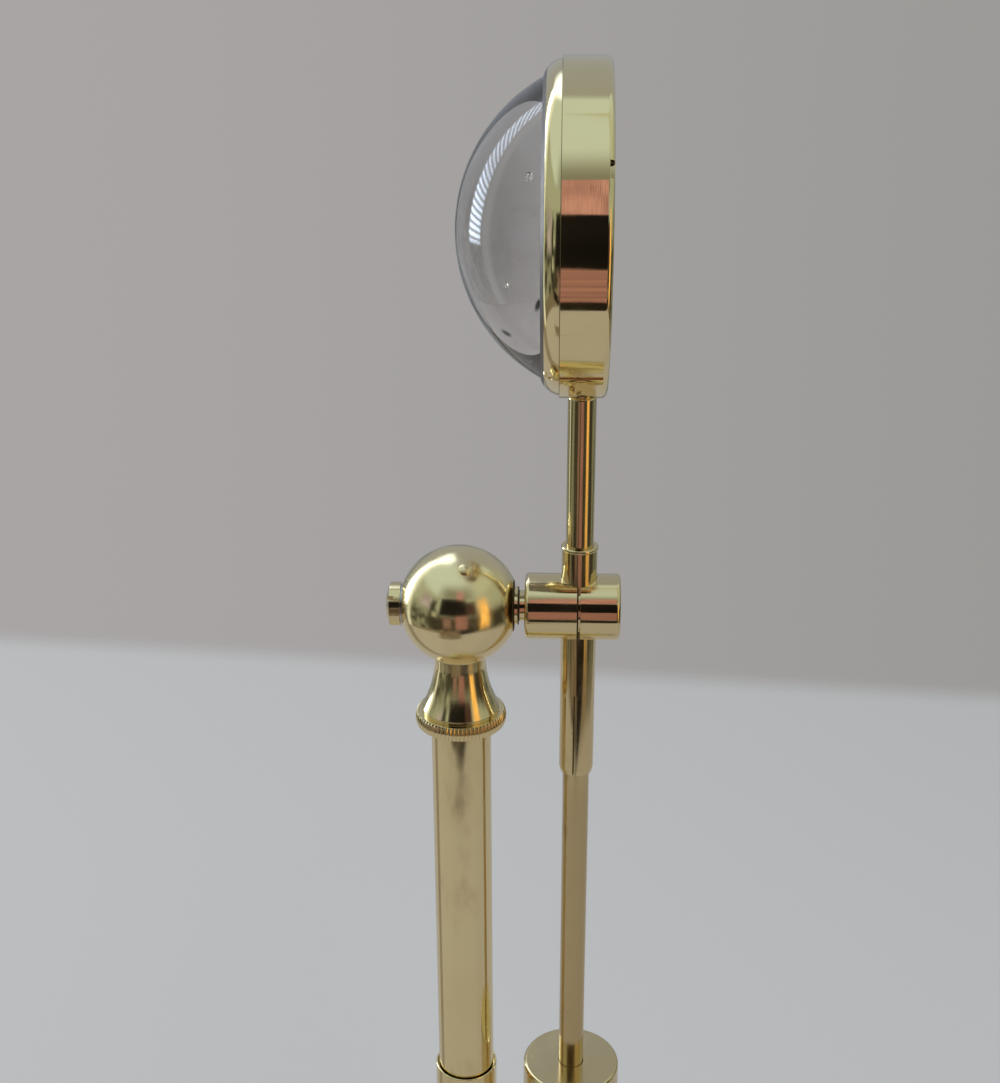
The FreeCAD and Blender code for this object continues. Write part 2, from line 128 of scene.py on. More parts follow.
class Graph:
    # a node tree of any kind, with one method that makes its nodes
    def __init__(self, tree):
        self.tree = tree

    def node(self, kind, settings=None, inputs=None, output=0):
        made = self.tree.nodes.new(kind)
        for name, value in (settings or {}).items():
            setattr(made, name, value)
        for name, term in (inputs or {}).items():
            feed(self.tree, made.inputs[name], term)
        return Value(self.tree, made.outputs[output]) if len(made.outputs) else made

    def blend(self, share, first, second):
        # a colour between two colours
        return self.node("ShaderNodeMix", {"data_type": "RGBA"}, {0: share, 6: first, 7: second}, output=2)

    def noise(self, place, scale, detail=2.0, roughness=0.5):
        return self.node("ShaderNodeTexNoise", inputs={
            "Vector": place, "Scale": scale, "Detail": detail, "Roughness": roughness})

    def stretched(self, place, factors):
        return self.node("ShaderNodeVectorMath", {"operation": "MULTIPLY"}, {0: place, 1: factors})

    def axes(self, place):
        node = self.tree.nodes.new("ShaderNodeSeparateXYZ")
        feed(self.tree, node.inputs[0], place)
        return [Value(self.tree, socket) for socket in node.outputs]

    def bearing(self, x, y):
        # degrees round the pillar from straight in front, to the right
        return x.maths("ARCTAN2", x, y * -1.0) * (180 / math.pi)


def newMaterial(name):
    material = bpy.data.materials.new(name)
    material.use_nodes = True
    material.node_tree.nodes.clear()
    graph = Graph(material.node_tree)
    place = graph.node("ShaderNodeTexCoord", output="Object")
    return material, graph, place


def surface(graph, shader):
    graph.node("ShaderNodeOutputMaterial", inputs={"Surface": shader})


def colour(red, green, blue):
    return (red, green, blue, 1.0)


# Brass

brassLook = {
    "metal": colour(0.87, 0.74, 0.43),
    "warmer": colour(0.82, 0.64, 0.34),
    "tarnish": colour(0.30, 0.20, 0.09),
    # the dark of pits, and of painted shade along joints and in the bore
    "grime": colour(0.045, 0.032, 0.018),
    "bore": colour(0.20, 0.18, 0.165),       # the bezel round the glass, painted darker as shade inside its bore
    "clouds": 34.0,                          # in a metre, as the next ones
    "wiped": 95.0,
    "stains": 58.0,
    "specks": 620.0,
    "scratches": (900, 260, 420),            # in a metre each way
    "toolLines": {"aroundZ": (40, 40, 5200), "aroundX": (5200, 40, 40), "alongZ": (5200, 5200, 60)},
    "haze": 0.10,                            # roughness that wiping marks add
    "stainRough": 0.16,
    "grimeAndShadeRough": 0.5,
    "toolMarks": 0.016,                      # mm, height of the finest lines
    "edgeRound": 0.11,                       # mm, how far an edge is worn
    "fade": 12.0,                            # mm over which a darkened end begins
    "lacquer": 0.12,
}


def seamShadeAndDirt(graph, place, height, joint):
    # painted shade along one plane, where parts meet or a cut opens, with old polish caught there
    direction, distance, half, darkness, top = joint
    along = graph.node("ShaderNodeVectorMath", {"operation": "DOT_PRODUCT"}, {
        0: place, 1: direction}, "Value")
    near = 1.0 - along.off(distance).step(half * 0.6 * mm, half * 1.3 * mm)
    return near * (1.0 - height.step(top, top + 0.2 * mm)) * darkness


def brass(name, grain, polish, stains=0.0, haze=1.0, dull=0.0, pits=0.5, joints=(), bore=0.0, darkEnd=None):
    # grain is how the tool marks run: the axis that they wind round, or lie along;
    # polish is the roughness where it is clean, and dull how far the whole piece has darkened;
    # joints are planes along which shade is painted, with some dirt: the plane's direction, its distance from the
    # origin in m, half the painted band's width in mm, how dark it is, and the height in m above which there is
    # none;
    # bore is the radius in m about the cell's axis inside which shade is painted;
    # darkEnd is the height in m below which it is darker, and how far
    material, graph, place = newMaterial(name)
    height = graph.axes(place)[2]
    cloud = graph.noise(place, brassLook["clouds"], 3.0)
    wiped = graph.noise(graph.stretched(place, (1.0, 1.0, 0.55)), brassLook["wiped"], 4.0, 0.62)
    fine = graph.noise(graph.stretched(place, brassLook["toolLines"][grain]), 1.0, 1.0)
    scratches = graph.noise(graph.stretched(place, brassLook["scratches"]), 1.0, 2.0, 0.7)
    stain = graph.noise(graph.stretched(place, (1.0, 1.0, 0.4)), brassLook["stains"], 5.0, 0.6)
    stain = stain.step(0.56, 0.74) * stains
    grit = graph.node("ShaderNodeTexVoronoi", {"feature": "F1"}, {
        "Vector": place, "Scale": brassLook["specks"]}, "Distance")
    speck = (1.0 - grit.step(0.05 + 0.06 * pits, 0.12 + 0.12 * pits)) * cloud.step(0.55, 0.68)
    grime = speck * pits
    # painted shade along the joints, split and slit joins the dark pits
    for joint in joints:
        grime = grime.most(seamShadeAndDirt(graph, place, height, joint))
    # darker below the given height, as on the rod below the sleeve
    if darkEnd:
        below, further = darkEnd
        fade = brassLook["fade"] * mm
        dull = (1.0 - height.step(below - fade, below + fade)) * further + dull
    tint = graph.blend(cloud.step(0.36, 0.68) * 0.42 + dull * 0.4, brassLook["metal"], brassLook["warmer"])
    tint = graph.blend(stain * 0.55 + dull * 0.6, tint, brassLook["tarnish"])
    # dark pits, and painted shade along joints and inside the bezel's bore
    tint = graph.blend(grime, tint, brassLook["grime"])
    # painted shade inside the bezel's bore, where little light gets in
    if bore:
        x, y, z = graph.axes(place)
        z = z - cellCentre.z
        inside = 1.0 - (y * y + z * z).step((bore - 0.1 * mm) ** 2, bore ** 2)
        tint = graph.blend(inside, tint, brassLook["bore"])
        grime = grime.most(inside * 0.8)
    roughness = wiped.step(0.42, 0.74) * brassLook["haze"] * haze + polish
    roughness = roughness + stain * brassLook["stainRough"] + grime * brassLook["grimeAndShadeRough"]
    relief = fine + scratches.step(0.66, 0.80) * -0.55 - speck * 1.2
    rounded = graph.node("ShaderNodeBevel", {"samples": 6}, {"Radius": brassLook["edgeRound"] * mm})
    relief = graph.node("ShaderNodeBump", inputs={
        "Strength": 0.22, "Distance": brassLook["toolMarks"] * mm, "Height": relief, "Normal": rounded})
    surface(graph, graph.node("ShaderNodeBsdfPrincipled", inputs={
        "Base Color": tint, "Metallic": 1.0, "Roughness": roughness, "Normal": relief,
        "Coat Weight": brassLook["lacquer"], "Coat Roughness": 0.18, "Coat IOR": 1.45}))
    return material


slit = {"turn": math.radians(7.0), "length": 21.6 * mm}
across, overAll = (1, 0, 0), 1.0            # overAll is higher than anything, in m
# planes along which shade is painted into the brass: the bezel's seam, the barrel's split, both faces of the
# friction washer and the sleeve's slit
cellSeam = (across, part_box("lens_cell")[0].x, 0.09, 0.55, overAll)
barrelSplit = (across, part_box("clamp_body")[1].x, 0.19, 1.0, overAll)
ballFlat = (across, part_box("friction_washer")[0].x, 0.35, 0.9, overAll)
washerFace = (across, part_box("friction_washer")[1].x, 0.25, 0.9, overAll)
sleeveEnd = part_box("split_sleeve")[0].z
slitSide = (math.cos(slit["turn"]), -math.sin(slit["turn"]), 0)
sleeveSlit = (slitSide, rodPlace.x * slitSide[0], 0.42, 1.0, sleeveEnd + slit["length"])
turnedBrass = brass("turnedBrass", "aroundZ", 0.10, dull=0.05)
ballBrass = brass("ballBrass", "aroundZ", 0.13, stains=0.2, haze=1.3, pits=1.0, joints=(ballFlat,))
plugBrass = brass("plugBrass", "aroundZ", 0.24, dull=0.05)
facedBrass = brass("facedBrass", "aroundX", 0.035, haze=0.5, pits=0.2, joints=(cellSeam,))
bezelBrass = brass("bezelBrass", "aroundX", 0.06, haze=0.6, pits=0.2, joints=(cellSeam,),
                   bore=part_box("lens")[1].y + 0.15 * mm)
clampBrass = brass("clampBrass", "aroundX", 0.07, haze=0.8, dull=0.22, joints=(barrelSplit, washerFace))
tubeBrass = brass("tubeBrass", "alongZ", 0.09, stains=0.7, haze=1.3)
rodBrass = brass("rodBrass", "alongZ", 0.11, stains=1.3, haze=1.2, dull=0.28, darkEnd=(sleeveEnd, 0.5))
sleeveBrass = brass("sleeveBrass", "alongZ", 0.08, stains=0.5, haze=1.2, dull=0.34, joints=(sleeveSlit,))
weightBrass = brass("weightBrass", "aroundZ", 0.16, stains=0.4, haze=1.3, dull=0.36)
footBrass = brass("footBrass", "aroundZ", 0.08, stains=0.3, haze=1.3)
print("brass materials made")


# Other finishes

steelLook = {
    "metal": colour(0.50, 0.49, 0.47),
    "stain": colour(0.16, 0.13, 0.11),
    "polish": 0.26,
    "rings": (900, 900, 4200),     # in a metre each way
    "rust": 210.0,
}


def steel():
    material, graph, place = newMaterial("turnedSteel")
    rings = graph.noise(graph.stretched(place, steelLook["rings"]), 1.0, 2.0)
    rust = graph.noise(place, steelLook["rust"], 5.0, 0.65).step(0.58, 0.72)
    tint = graph.blend(rust * 0.5, steelLook["metal"], steelLook["stain"])
    relief = graph.node("ShaderNodeBump", inputs={"Strength": 0.3, "Distance": 0.02 * mm, "Height": rings})
    roughness = rust * 0.3 + steelLook["polish"]
    surface(graph, graph.node("ShaderNodeBsdfPrincipled", inputs={
        "Base Color": tint, "Metallic": 1.0, "Roughness": roughness, "Normal": relief}))
    return material


ironLook = {
    "metal": colour(0.075, 0.07, 0.068),
    "scale": colour(0.13, 0.09, 0.07),
    "skin": 420.0,
}


def iron():
    material, graph, place = newMaterial("blackedIron")
    skin = graph.noise(place, ironLook["skin"], 6.0, 0.62)
    tint = graph.blend(skin.step(0.5, 0.72), ironLook["metal"], ironLook["scale"])
    relief = graph.node("ShaderNodeBump", inputs={"Strength": 0.6, "Distance": 0.12 * mm, "Height": skin})
    surface(graph, graph.node("ShaderNodeBsdfPrincipled", inputs={
        "Base Color": tint, "Metallic": 0.6, "Roughness": skin * 0.3 + 0.42, "Normal": relief}))
    return material


baizeLook = {
    "wool": colour(0.030, 0.105, 0.052),
    "worn": colour(0.085, 0.150, 0.080),
    "fibres": 2600.0,
    "baldness": 60.0,
}


def baize():
    material, graph, place = newMaterial("greenBaize")
    fibres = graph.noise(place, baizeLook["fibres"], 4.0, 0.75)
    bald = graph.noise(place, baizeLook["baldness"], 3.0).step(0.52, 0.78)
    tint = graph.blend(fibres.step(0.35, 0.75) * 0.6 + bald * 0.35, baizeLook["wool"], baizeLook["worn"])
    relief = graph.node("ShaderNodeBump", inputs={"Strength": 0.8, "Distance": 0.22 * mm, "Height": fibres})
    surface(graph, graph.node("ShaderNodeBsdfPrincipled", inputs={
        "Base Color": tint, "Roughness": 0.95, "Normal": relief,
        "Sheen Weight": 0.5, "Sheen Roughness": 0.5}))
    return material


leatherLook = {
    "hide": colour(0.135, 0.075, 0.042),
    "crease": colour(0.050, 0.028, 0.018),
    "grain": 1500.0,
}


def leather():
    material, graph, place = newMaterial("packingLeather")
    grainCells = graph.node("ShaderNodeTexVoronoi", {"feature": "DISTANCE_TO_EDGE"}, {
        "Vector": place, "Scale": leatherLook["grain"]}, "Distance")
    crease = 1.0 - grainCells.step(0.0, 0.12)
    tint = graph.blend(crease, leatherLook["hide"], leatherLook["crease"])
    relief = graph.node("ShaderNodeBump", inputs={
        "Strength": 0.5, "Distance": 0.06 * mm, "Height": crease * -1.0})
    surface(graph, graph.node("ShaderNodeBsdfPrincipled", inputs={
        "Base Color": tint, "Roughness": 0.62, "Normal": relief}))
    return material


glassLook = {
    "body": colour(0.970, 0.957, 0.955),
    "index": 1.52,
    "smears": 110.0,                      # in a metre
    "smear": 0.018,                       # roughness of a fingermark
    "ground": colour(0.88, 0.85, 0.84),   # the edge that is left ground
    "deeper": colour(0.45, 0.45, 0.44),
    "grains": 2400.0,
    "chip": (-4.2, 30.35, -11.65),        # mm from the cell's centre: a dark spot painted on the ground edge
    "darkSpotReach": (0.22, 0.8, 0.48),       # mm each way
    "darkSpotTint": colour(0.03, 0.03, 0.03),
}


def glass():
    material, graph, place = newMaterial("crownGlass")
    smear = graph.noise(graph.stretched(place, (1.0, 1.0, 2.2)), glassLook["smears"], 4.0, 0.6)
    surface(graph, graph.node("ShaderNodeBsdfPrincipled", inputs={
        "Base Color": glassLook["body"], "Roughness": smear.step(0.55, 0.85) * glassLook["smear"],
        "IOR": glassLook["index"], "Transmission Weight": 1.0}))
    return material


def groundGlass():
    material, graph, place = newMaterial("groundGlassEdge")
    grains = graph.noise(place, glassLook["grains"], 3.0, 0.7)
    chips = graph.noise(place, 260.0, 4.0).step(0.60, 0.72)
    tint = graph.blend(chips * 0.3 + grains * 0.12, glassLook["ground"], glassLook["deeper"])
    # a dark spot painted on the ground edge
    shrink = Vector([1 / (reach * mm) for reach in glassLook["darkSpotReach"]])
    middle = (cellCentre + Vector(glassLook["chip"]) * mm) * shrink
    away = graph.node("ShaderNodeVectorMath", {"operation": "DISTANCE"}, {
        0: graph.stretched(place, shrink), 1: middle}, "Value")
    tint = graph.blend(1.0 - away.step(0.4, 1.2), tint, glassLook["darkSpotTint"])
    relief = graph.node("ShaderNodeBump", inputs={"Strength": 0.5, "Distance": 0.03 * mm, "Height": grains})
    surface(graph, graph.node("ShaderNodeBsdfPrincipled", inputs={
        "Base Color": tint, "Roughness": 0.85, "Specular IOR Level": 0.2, "Normal": relief}))
    return material


steelFinish = steel()
ironFinish = iron()
baizeFinish = baize()
leatherFinish = leather()
glassFinish = glass()
groundFinish = groundGlass()
print("other materials made")


# Meshes with true normals

def readAll(items, name, width=1, kind=float):
    values = np.zeros(len(items) * width, kind)
    items.foreach_get(name, values)
    return values.reshape(-1, width) if width > 1 else values


def unit(vectors):
    return vectors / np.maximum(np.linalg.norm(vectors, axis=1), 1e-12)[:, None]


turnedLook = {
    "flatRise": 0.99999,       # how far along the axis a flat face's normal lies, at the least
    "barrelRise": 1e-4,        # and a barrel's, at the most
    "sideways": 0.22,          # how far a turned face's normal may point round the axis
    "near": 0.94,              # how near a corner's normal is to the one that takes its place
    "ballSkin": 0.045,         # mm, how near the ball's surface a corner is
    "nearBall": 0.985,
    "sharp": 24.0,             # degrees between faces at which an edge is sharp
    "merge": 2e-7,             # m between corners that are one
}


def trueNormals(mesh, axis, ball=None):
    # a turned piece's shading normals, worked out from its axis rather than from its triangles
    centre, along = (np.array(v) for v in axis)
    points = readAll(mesh.vertices, "co", 3)
    ends = readAll(mesh.loops, "vertex_index", kind=int)
    counts = readAll(mesh.polygons, "loop_total", kind=int)
    faceOfCorner = np.repeat(np.arange(len(counts)), counts)
    faceNormals = readAll(mesh.polygon_normals, "vector", 3)
    normals = readAll(mesh.corner_normals, "vector", 3)
    fromAxis = points - centre
    radial = unit(fromAxis - np.outer(fromAxis @ along, along))[ends]
    rise = faceNormals @ along
    onFlat, onBarrel = np.zeros(len(points), bool), np.zeros(len(points), bool)
    onFlat[ends[(np.abs(rise) > turnedLook["flatRise"])[faceOfCorner]]] = True
    onBarrel[ends[(np.abs(rise) < turnedLook["barrelRise"])[faceOfCorner]]] = True
    around = np.cross(along, radial)
    sideways = (normals * around).sum(1)
    turned = np.abs(sideways) < turnedLook["sideways"]
    up, out = normals @ along, (normals * radial).sum(1)
    flat = onFlat[ends] & (np.abs(up) > turnedLook["near"])
    barrel = onBarrel[ends] & (np.abs(out) > turnedLook["near"]) & ~flat & turned
    smooth = turned & ~flat & ~barrel
    fixed = normals.copy()
    fixed[smooth] = unit(normals[smooth] - around[smooth] * sideways[smooth, None])
    fixed[barrel] = radial[barrel] * np.sign(out[barrel])[:, None]
    fixed[flat] = np.outer(np.sign(up[flat]), along)
    if ball:
        middle, radius = ball
        away = points[ends] - np.array(middle)
        onBall = np.abs(np.linalg.norm(away, axis=1) - radius) < turnedLook["ballSkin"] * mm
        away = unit(away)
        outwards = (normals * away).sum(1)
        onBall &= np.abs(outwards) > turnedLook["nearBall"]
        fixed[onBall] = away[onBall] * np.sign(outwards)[onBall, None]
    mesh.normals_split_custom_set(fixed.tolist())


def shadeByAngle(mesh, degrees=turnedLook["sharp"]):
    for face in mesh.polygons:
        face.use_smooth = True
    mesh.set_sharp_from_angle(angle=math.radians(degrees))


def ridePiece(piece, node, material):
    piece.data.materials.clear()
    piece.data.materials.append(material)
    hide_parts(node)
    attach(piece, bodyOf[node])
    return piece


def camelName(node):
    first, *rest = node.split("_")
    return first + "".join(word.capitalize() for word in rest)


def refined(node, material, axis, ball=None):
    # the node's own shape, merged and with true normals
    mesh = nodes[node].data.copy()
    work = bmesh.new()
    work.from_mesh(mesh)
    bmesh.ops.remove_doubles(work, verts=work.verts, dist=turnedLook["merge"])
    bmesh.ops.dissolve_degenerate(work, edges=work.edges, dist=turnedLook["merge"])
    work.to_mesh(mesh)
    work.free()
    if mesh.attributes.get("custom_normal"):
        mesh.attributes.remove(mesh.attributes["custom_normal"])
    shadeByAngle(mesh)
    trueNormals(mesh, axis, ball)
    piece = bpy.data.objects.new(camelName(node), mesh)
    bpy.context.scene.collection.objects.link(piece)
    return ridePiece(piece, node, material)


ballRadius = 14.0 * mm
turnedPieces = (
    ("base_foot", footBrass, pillarAxis), ("base_collar", footBrass, pillarAxis),
    ("outer_tube", tubeBrass, pillarAxis), ("inner_tube", tubeBrass, pillarAxis),
    ("upper_guide_bush", turnedBrass, pillarAxis), ("lower_guide_bush", turnedBrass, pillarAxis),
    ("clamp_body", clampBrass, crossAxis), ("eye_bolt", clampBrass, crossAxis),
    ("friction_washer", clampBrass, crossAxis), ("tension_screw", clampBrass, crossAxis),
    ("split_sleeve", sleeveBrass, rodAxis), ("lens_rod", rodBrass, rodAxis),
    ("cell_stud", turnedBrass, rodAxis), ("counterweight", weightBrass, rodAxis),
    ("lens_cell", facedBrass, cellAxis), ("bezel_ring", bezelBrass, cellAxis),
    ("retaining_ring", facedBrass, cellAxis), ("spring_washer", steelFinish, crossAxis),
    ("counterweight_screw", steelFinish, rodAxis),
)
for node, material, axis in turnedPieces:
    refined(node, material, axis)
refined("ball_head", ballBrass, pillarAxis, (ballCentre, ballRadius))
lockLow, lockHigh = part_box("bezel_lock_screw")
lockPlace = Vector(((lockLow.x + lockHigh.x) / 2, 0, cellCentre.z))
lockTurn = math.radians(50)          # below the level, in the bezel's front
refined("bezel_lock_screw", facedBrass, (lockPlace, Vector((0, -math.cos(lockTurn), -math.sin(lockTurn)))))
print("turned pieces refined")

plainPieces = {
    "base_pad": baizeFinish, "base_ballast": ironFinish, "base_screws": steelFinish,
    "swivel_washer": steelFinish, "swivel_screw": steelFinish, "lens_packing": leatherFinish,
}
for node, material in plainPieces.items():
    nodes[node].data.materials.clear()
    nodes[node].data.materials.append(material)
print("plain pieces finished")


# Turned outlines of this script's own

def spun(name, outline, axis, segments):
    # turns (radius, height) points about an axis into one closed skin
    centre, along = axis
    side = along.cross(Vector((0.3, 1, 0.2))).normalized()
    other = along.cross(side)
    turns = [2 * math.pi * index / segments for index in range(segments)]
    spokes = [side * math.cos(turn) + other * math.sin(turn) for turn in turns]
    work = bmesh.new()
    rings = []
    for radius, height in outline:
        middle = centre + along * height
        if radius:
            rings.append([work.verts.new(middle + spoke * radius) for spoke in spokes])
        else:
            rings.append([work.verts.new(middle)] * segments)
    closed = outline[0][0] > 0
    for low, high in zip(rings, rings[1:] + rings[:1] if closed else rings[1:]):
        for index in range(segments):
            after = (index + 1) % segments
            loop = (low[index], low[after], high[after], high[index])
            work.faces.new(tuple(dict.fromkeys(loop)))      # a pole's corner once
    bmesh.ops.recalc_face_normals(work, faces=work.faces)
    mesh = bpy.data.meshes.new(name)
    work.to_mesh(mesh)
    work.free()
    piece = bpy.data.objects.new(name, mesh)
    bpy.context.scene.collection.objects.link(piece)
    return piece


def arc(centre, radius, start, end, count):
    # points of an arc as (radius, height), angles in degrees from the radius
    turns = [math.radians(start + (end - start) * step / count) for step in range(count + 1)]
    return [(centre[0] + radius * math.cos(turn), centre[1] + radius * math.sin(turn)) for turn in turns]


def newGeometry(name, inputs):
    # a geometry tree with named inputs; gives the tree and what they are
    tree = bpy.data.node_groups.new(name, "GeometryNodeTree")
    tree.interface.new_socket("Geometry", in_out="INPUT", socket_type="NodeSocketGeometry")
    tree.interface.new_socket("Geometry", in_out="OUTPUT", socket_type="NodeSocketGeometry")
    for label, kind in inputs:
        tree.interface.new_socket(label, in_out="INPUT", socket_type=kind)
    entry = tree.nodes.new("NodeGroupInput")
    return Graph(tree), {socket.name: Value(tree, socket) for socket in entry.outputs if socket.name}


def endGeometry(graph, geometry, material):
    realised = graph.node("GeometryNodeRealizeInstances", inputs={"Geometry": geometry})
    painted = graph.node("GeometryNodeSetMaterial", inputs={"Geometry": realised, "Material": material})
    ending = graph.tree.nodes.new("NodeGroupOutput")
    feed(graph.tree, ending.inputs["Geometry"], painted)


def runGeometry(piece, graph, values):
    # runs the tree on the piece and keeps the result as its plain mesh
    modifier = piece.modifiers.new(graph.tree.name, "NODES")
    modifier.node_group = graph.tree
    for item in graph.tree.interface.items_tree:
        if item.in_out == "INPUT" and item.name in values:
            modifier[item.identifier] = values[item.name]
    bpy.context.view_layer.update()
    done = piece.evaluated_get(bpy.context.evaluated_depsgraph_get())
    mesh = bpy.data.meshes.new_from_object(done)
    piece.modifiers.remove(modifier)
    piece.data = mesh
    mesh.name = piece.name
    return piece


# Plug in the ball

plug = {
    "rise": math.radians(58.0),
    "turn": math.radians(15.0),
    "shank": 1.2 * mm,
    "head": 1.45 * mm,
    "from": 7.9 * mm,         # heights above the ball's centre
    "seat": 13.5 * mm,
    "rim": 14.4 * mm,
    "top": 14.9 * mm,
    "segments": 96,
}


def ballPlug():
    lean = math.pi / 2 - plug["rise"]
    along = Vector((math.sin(lean) * math.sin(plug["turn"]), -math.sin(lean) * math.cos(plug["turn"]),
                    math.cos(lean)))
    crown = plug["top"] - plug["rim"]
    sphere = (plug["head"] ** 2 + crown ** 2) / (2 * crown)
    sweep = math.degrees(math.asin(plug["head"] / sphere))
    dome = arc((0, plug["top"] - sphere), sphere, 90 - sweep, 90, 12)
    outline = [(0, plug["from"]), (plug["shank"], plug["from"]), (plug["shank"], plug["seat"]),
               (plug["head"], plug["seat"]), *dome[:-1], (0, plug["top"])]
    piece = spun("ballPlug", outline, (ballCentre, along), plug["segments"])
    shadeByAngle(piece.data, 40.0)
    return ridePiece(piece, "ball_plug", plugBrass)


ballPlug()
print("plug made")


# Milled ring

ringLow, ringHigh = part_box("knurled_ring")
milling = {
    "teeth": 68,
    "stepsPerTooth": 12,
    "depth": 0.34 * mm,
    "crown": 0.45 * mm,
    "thick": 3.4 * mm,
    "toothStart": 8.9175 * mm,     # radius at which the cut begins, and where it is full
    "toothFull": 9.84 * mm,
    "plugRadius": 6.15 * mm,
    "bore": 4.05 * mm,
    "edgeBreak": 0.14 * mm,
    "sharp": 38.0,
}


def milledEdge():
    # a wheel whose rim is cut by one rounded tooth after another
    graph, given = newGeometry("milledEdge", (
        ("Teeth", "NodeSocketFloat"), ("Depth", "NodeSocketFloat"), ("Material", "NodeSocketMaterial")))
    place = graph.node("GeometryNodeInputPosition")
    x, y, z = graph.axes(place)
    turn = y.maths("ARCTAN2", y, x)
    wave = turn.maths("COSINE", turn * given["Teeth"] * 0.5)
    wave = wave.maths("ABSOLUTE", wave)
    radius = x.maths("SQRT", x * x + y * y)
    full = radius.step(milling["toothStart"], milling["toothFull"])
    share = 1.0 - given["Depth"] * (1.0 - wave) * full / radius
    moved = graph.node("ShaderNodeCombineXYZ", inputs={"X": x * share, "Y": y * share, "Z": z})
    cut = graph.node("GeometryNodeSetPosition", inputs={"Geometry": given["Geometry"], "Position": moved})
    endGeometry(graph, cut, given["Material"])
    return graph


def milledRing():
    top, low = ringHigh.z, ringHigh.z - milling["thick"]
    crest = ringHigh.x
    rim = crest - milling["crown"]
    middle = (top + low) / 2
    half = (top - low) / 2
    bulge = (half ** 2 + milling["crown"] ** 2) / (2 * milling["crown"])
    sweep = math.degrees(math.asin(half / bulge))
    small = milling["edgeBreak"]
    outline = [
        (milling["bore"], ringLow.z), (milling["plugRadius"], ringLow.z), (milling["plugRadius"], low),
        (rim - 3 * small, low), (rim - small, low),
        *arc((crest - bulge, middle), bulge, -sweep, sweep, 14),
        (rim - small, top), (rim - 3 * small, top), (milling["bore"], top),
    ]
    ring = spun("milledRing", outline, pillarAxis, milling["teeth"] * milling["stepsPerTooth"])
    runGeometry(ring, milledEdge(), {
        "Teeth": milling["teeth"], "Depth": milling["depth"], "Material": turnedBrass})
    shadeByAngle(ring.data, milling["sharp"])
    return ridePiece(ring, "knurled_ring", turnedBrass)


milledRing()
print("milled ring made")


# Bull's-eye glass

lensLow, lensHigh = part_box("lens")
bullsEye = {
    "domeHeight": 21.8 * mm,
    "ease": 0.12 * mm,
    "airFilm": 0.03 * mm,      # between the flat back and its packing
    "segments": 256,
    "domeSteps": 90,
    "bubbleSteps": 4,
    # x along the cell's axis, y towards the back, z up, from the cell's centre, and the radius, in mm
    "bubbles": ((-8.8, -14.3, 11.6, 0.80), (-12.9, -15.8, -6.9, 0.60), (-12.0, 6.0, 20.0, 0.16),
                (-9.0, -12.0, -22.0, 0.18), (-19.0, 3.0, -3.0, 0.14), (-6.0, -20.0, 4.0, 0.15)),
}


def bubbledGlass():
    # adds a hollow wherever a bubble point is, with its skin turned inwards
    graph, given = newGeometry("bubbledGlass", (
        ("Bubbles", "NodeSocketObject"), ("Roundness", "NodeSocketInt"),
        ("Material", "NodeSocketMaterial")))
    points = graph.node("GeometryNodeObjectInfo", inputs={"Object": given["Bubbles"]}, output="Geometry")
    size = graph.node("GeometryNodeInputNamedAttribute", {"data_type": "FLOAT"}, {"Name": "size"})
    pearl = graph.node("GeometryNodeMeshIcoSphere", inputs={
        "Radius": 1.0, "Subdivisions": given["Roundness"]})
    pearls = graph.node("GeometryNodeInstanceOnPoints", inputs={
        "Points": points, "Instance": pearl, "Scale": size})
    pearls = graph.node("GeometryNodeRealizeInstances", inputs={"Geometry": pearls})
    hollows = graph.node("GeometryNodeFlipFaces", inputs={"Mesh": pearls})
    join = graph.tree.nodes.new("GeometryNodeJoinGeometry")
    feed(graph.tree, join.inputs[0], hollows)
    feed(graph.tree, join.inputs[0], given["Geometry"])
    endGeometry(graph, Value(graph.tree, join.outputs[0]), given["Material"])
    return graph


def bubblePoints():
    mesh = bpy.data.meshes.new("bubblePoints")
    mesh.from_pydata([cellCentre + Vector(spot[:3]) * mm for spot in bullsEye["bubbles"]], [], [])
    sizes = mesh.attributes.new("size", "FLOAT", "POINT")
    for index, spot in enumerate(bullsEye["bubbles"]):
        sizes.data[index].value = spot[3] * mm
    cloud = bpy.data.objects.new("bubblePoints", mesh)
    bpy.context.scene.collection.objects.link(cloud)
    return cloud


def lensGlass():
    radius = (lensHigh.y - lensLow.y) / 2
    apex, back = lensLow.x - cellCentre.x, lensHigh.x - cellCentre.x - bullsEye["airFilm"]
    rise = bullsEye["domeHeight"]
    sphere = (radius ** 2 + rise ** 2) / (2 * rise)
    middle = apex + sphere
    sweep = math.degrees(math.asin(radius / sphere))
    ease = bullsEye["ease"]
    dome = arc((0, middle), sphere, -90 + sweep, -90, bullsEye["domeSteps"])
    outline = [(0, back), (radius - ease, back), (radius, back - ease), *dome[:-1], (0, apex)]
    body = spun("bullsEyeGlass", outline, cellAxis, bullsEye["segments"])
    cloud = bubblePoints()
    runGeometry(body, bubbledGlass(), {
        "Bubbles": cloud, "Roundness": bullsEye["bubbleSteps"], "Material": glassFinish})
    bpy.data.objects.remove(cloud)
    shadeByAngle(body.data, 20.0)
    trueNormals(body.data, cellAxis, (cellCentre + Vector((middle, 0, 0)), sphere))
    ridePiece(body, "lens", glassFinish)
    body.data.materials.append(groundFinish)
    for face in body.data.polygons:
        away = face.center - cellCentre
        if math.hypot(away.y, away.z) > radius - 0.6 * ease:
            face.material_index = 1
    return body


lensGlass()
print("glass made")


# Stage

